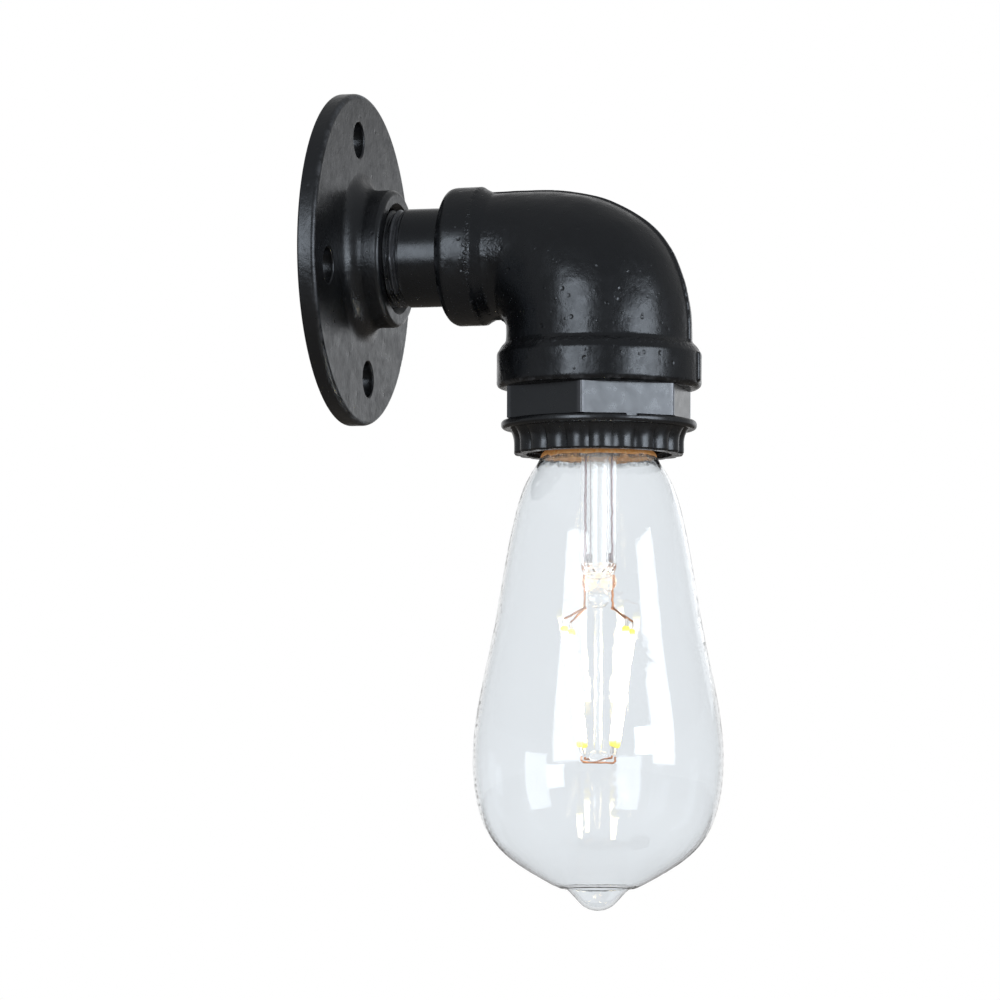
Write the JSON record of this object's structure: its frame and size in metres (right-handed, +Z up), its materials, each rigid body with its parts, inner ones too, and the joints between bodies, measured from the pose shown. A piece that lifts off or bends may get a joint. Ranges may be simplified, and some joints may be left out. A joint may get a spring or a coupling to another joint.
{
  "type": "pipe wall light",
  "caption": "Wall light built from black pipe fittings: round floor flange, nipple, reducing elbow, hex bushing and a screw lampholder with shade ring and clear filament lamp.",
  "frame": {"origin": "centre of the wall flange's back face, where the pipe axis meets the wall plane", "axes": "-Y out of the wall along the pipe axis, +Z up, +X to the right as seen from the room facing the wall"},
  "size_m": [0.086, 0.1001, 0.2117],
  "materials": {
    "black_iron": "satin black paint over cast iron",
    "black_resin": "moulded black resin",
    "pressed_fibre": "brown pressed fibre",
    "glazed_ceramic": "off-white ceramic",
    "zinc_steel": "zinc plated",
    "brass": "plain brass",
    "spring_steel": "bright drawn",
    "black_sleeve": "matt",
    "white_sleeve": "matt",
    "tinned_copper": "tinned",
    "plated_brass": "nickel plated",
    "black_glass": "black vitrite glass",
    "solder": "solder tinned",
    "cement": "matt",
    "board_green": "matt",
    "component_black": "matt",
    "clear_glass": "clear",
    "phosphor": "lit, warm white",
    "nickel_wire": "bright"
  },
  "bodies": {
    "mount": {"wall_flange": "black_iron", "pipe_nipple": "black_iron"},
    "arm": {"reducing_elbow": "black_iron", "hex_bushing": "black_iron", "holder_shell": "black_resin", "holder_block": "glazed_ceramic", "holder_cover": "black_resin", "cover_screws": "zinc_steel", "screw_shell": "brass", "shell_rivets": "brass", "live_terminal": "brass", "neutral_terminal": "brass", "terminal_screws": "zinc_steel", "contact_spring": "spring_steel", "live_lead": "black_sleeve", "neutral_lead": "white_sleeve", "lead_ferrules": "tinned_copper"},
    "plunger": {"contact_plunger": "brass"},
    "ring_seat": {"ring_washer": "pressed_fibre"},
    "ring": {"shade_ring": "black_resin"},
    "lamp_seat": {"cap_contact": "solder"},
    "lamp": {"cap_shell": "plated_brass", "cap_insulator": "black_glass", "cap_cement": "cement", "driver_board": "board_green", "driver_components": "component_black", "bulb_glass": "clear_glass", "stem_glass": "clear_glass", "exhaust_tube": "clear_glass", "filament_1": "phosphor", "filament_2": "phosphor", "filament_3": "phosphor", "filament_4": "phosphor", "filament_tabs": "tinned_copper", "live_lamp_wire": "nickel_wire", "neutral_lamp_wire": "nickel_wire", "bead_wires": "nickel_wire"}
  },
  "joints": [
    {"name": "arm_swivel", "type": "hinge", "parent": "mount", "child": "arm", "pos_m": [0, -0.038, 0], "axis": [0, -1, 0], "range_deg": [-90, 90]},
    {"name": "contact_travel", "type": "slide", "parent": "arm", "child": "plunger", "axis": [0, 0, 1], "range_m": [0, 0.0012], "stiffness_N_per_m": 400, "springref_m": -0.003, "deforming": ["contact_spring"]},
    {"name": "ring_advance", "type": "slide", "parent": "arm", "child": "ring_seat", "axis": [0, 0, -1], "range_m": [0, 0.0045]},
    {"name": "ring_turn", "type": "hinge", "parent": "ring_seat", "child": "ring", "pos_m": [0, -0.068, -0.047], "axis": [0, 0, -1], "range_deg": [0, 810]},
    {"name": "lamp_advance", "type": "slide", "parent": "arm", "child": "lamp_seat", "axis": [0, 0, -1], "range_m": [0, 0.01452]},
    {"name": "lamp_turn", "type": "hinge", "parent": "lamp_seat", "child": "lamp", "pos_m": [0, -0.068, -0.04], "axis": [0, 0, -1], "range_deg": [0, 1440]}
  ],
  "couplings": [
    {"joint": "ring_advance", "follows": "ring_turn", "m_per_rad": 0.00031831},
    {"joint": "lamp_advance", "follows": "lamp_turn", "m_per_rad": 0.00057757}
  ]
}
